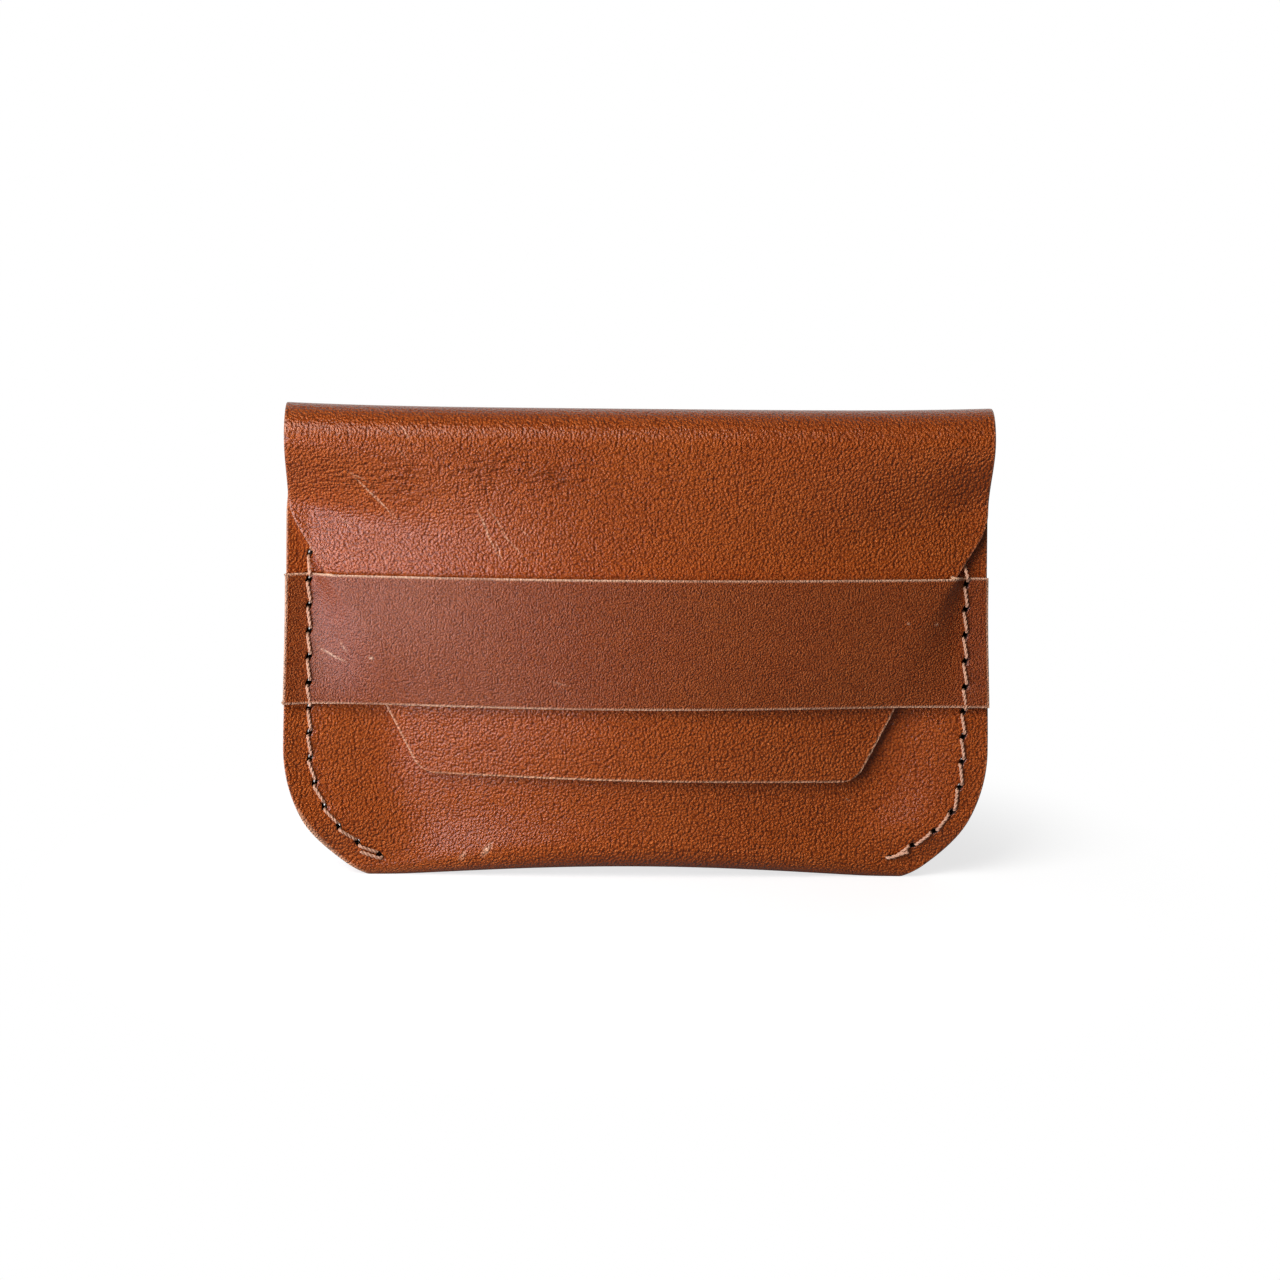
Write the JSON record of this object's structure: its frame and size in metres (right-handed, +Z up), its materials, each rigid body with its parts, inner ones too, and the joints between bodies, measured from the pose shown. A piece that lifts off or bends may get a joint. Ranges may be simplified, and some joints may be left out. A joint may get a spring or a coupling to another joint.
{
  "type": "card holder",
  "caption": "Fold-over leather card holder with a rolled top edge and a tapered flap tucked under a sewn front band.",
  "frame": {"origin": "on the surface that the bottom fold stands on, under the middle of the width and of the depth", "axes": "+Z up, +X along the folds, +Y from the front with the band to the back"},
  "size_m": [0.109, 0.015, 0.0737],
  "materials": {
    "cognac_leather": "waxed full grain, raw cut edges",
    "waxed_thread": "waxed twisted thread"
  },
  "bodies": {
    "pouch": {"body": "cognac_leather", "band": "cognac_leather", "left_seam_thread": "waxed_thread", "right_seam_thread": "waxed_thread"},
    "rear_fold": {"fold_strip_rear": "cognac_leather"},
    "front_fold": {"fold_strip_front": "cognac_leather"},
    "flap": {"flap": "cognac_leather", "flap_tongue": "cognac_leather"}
  },
  "joints": [
    {"name": "flap_hinge", "type": "hinge", "parent": "pouch", "child": "rear_fold", "pos_m": [0, 0.00603, 0.07079], "axis": [-1, 0, 0], "range_deg": [0, 50], "deforming": ["flap_tongue"]},
    {"name": "crest_bend", "type": "hinge", "parent": "rear_fold", "child": "front_fold", "pos_m": [0, 0.00168, 0.07372], "axis": [-1, 0, 0], "range_deg": [0, 50], "deforming": ["flap_tongue"]},
    {"name": "front_bend", "type": "hinge", "parent": "front_fold", "child": "flap", "pos_m": [0, -0.00304, 0.07142], "axis": [-1, 0, 0], "range_deg": [0, 50], "deforming": ["flap_tongue"]}
  ],
  "couplings": [
    {"joint": "crest_bend", "follows": "flap_hinge", "ratio": 1},
    {"joint": "front_bend", "follows": "flap_hinge", "ratio": 1}
  ]
}
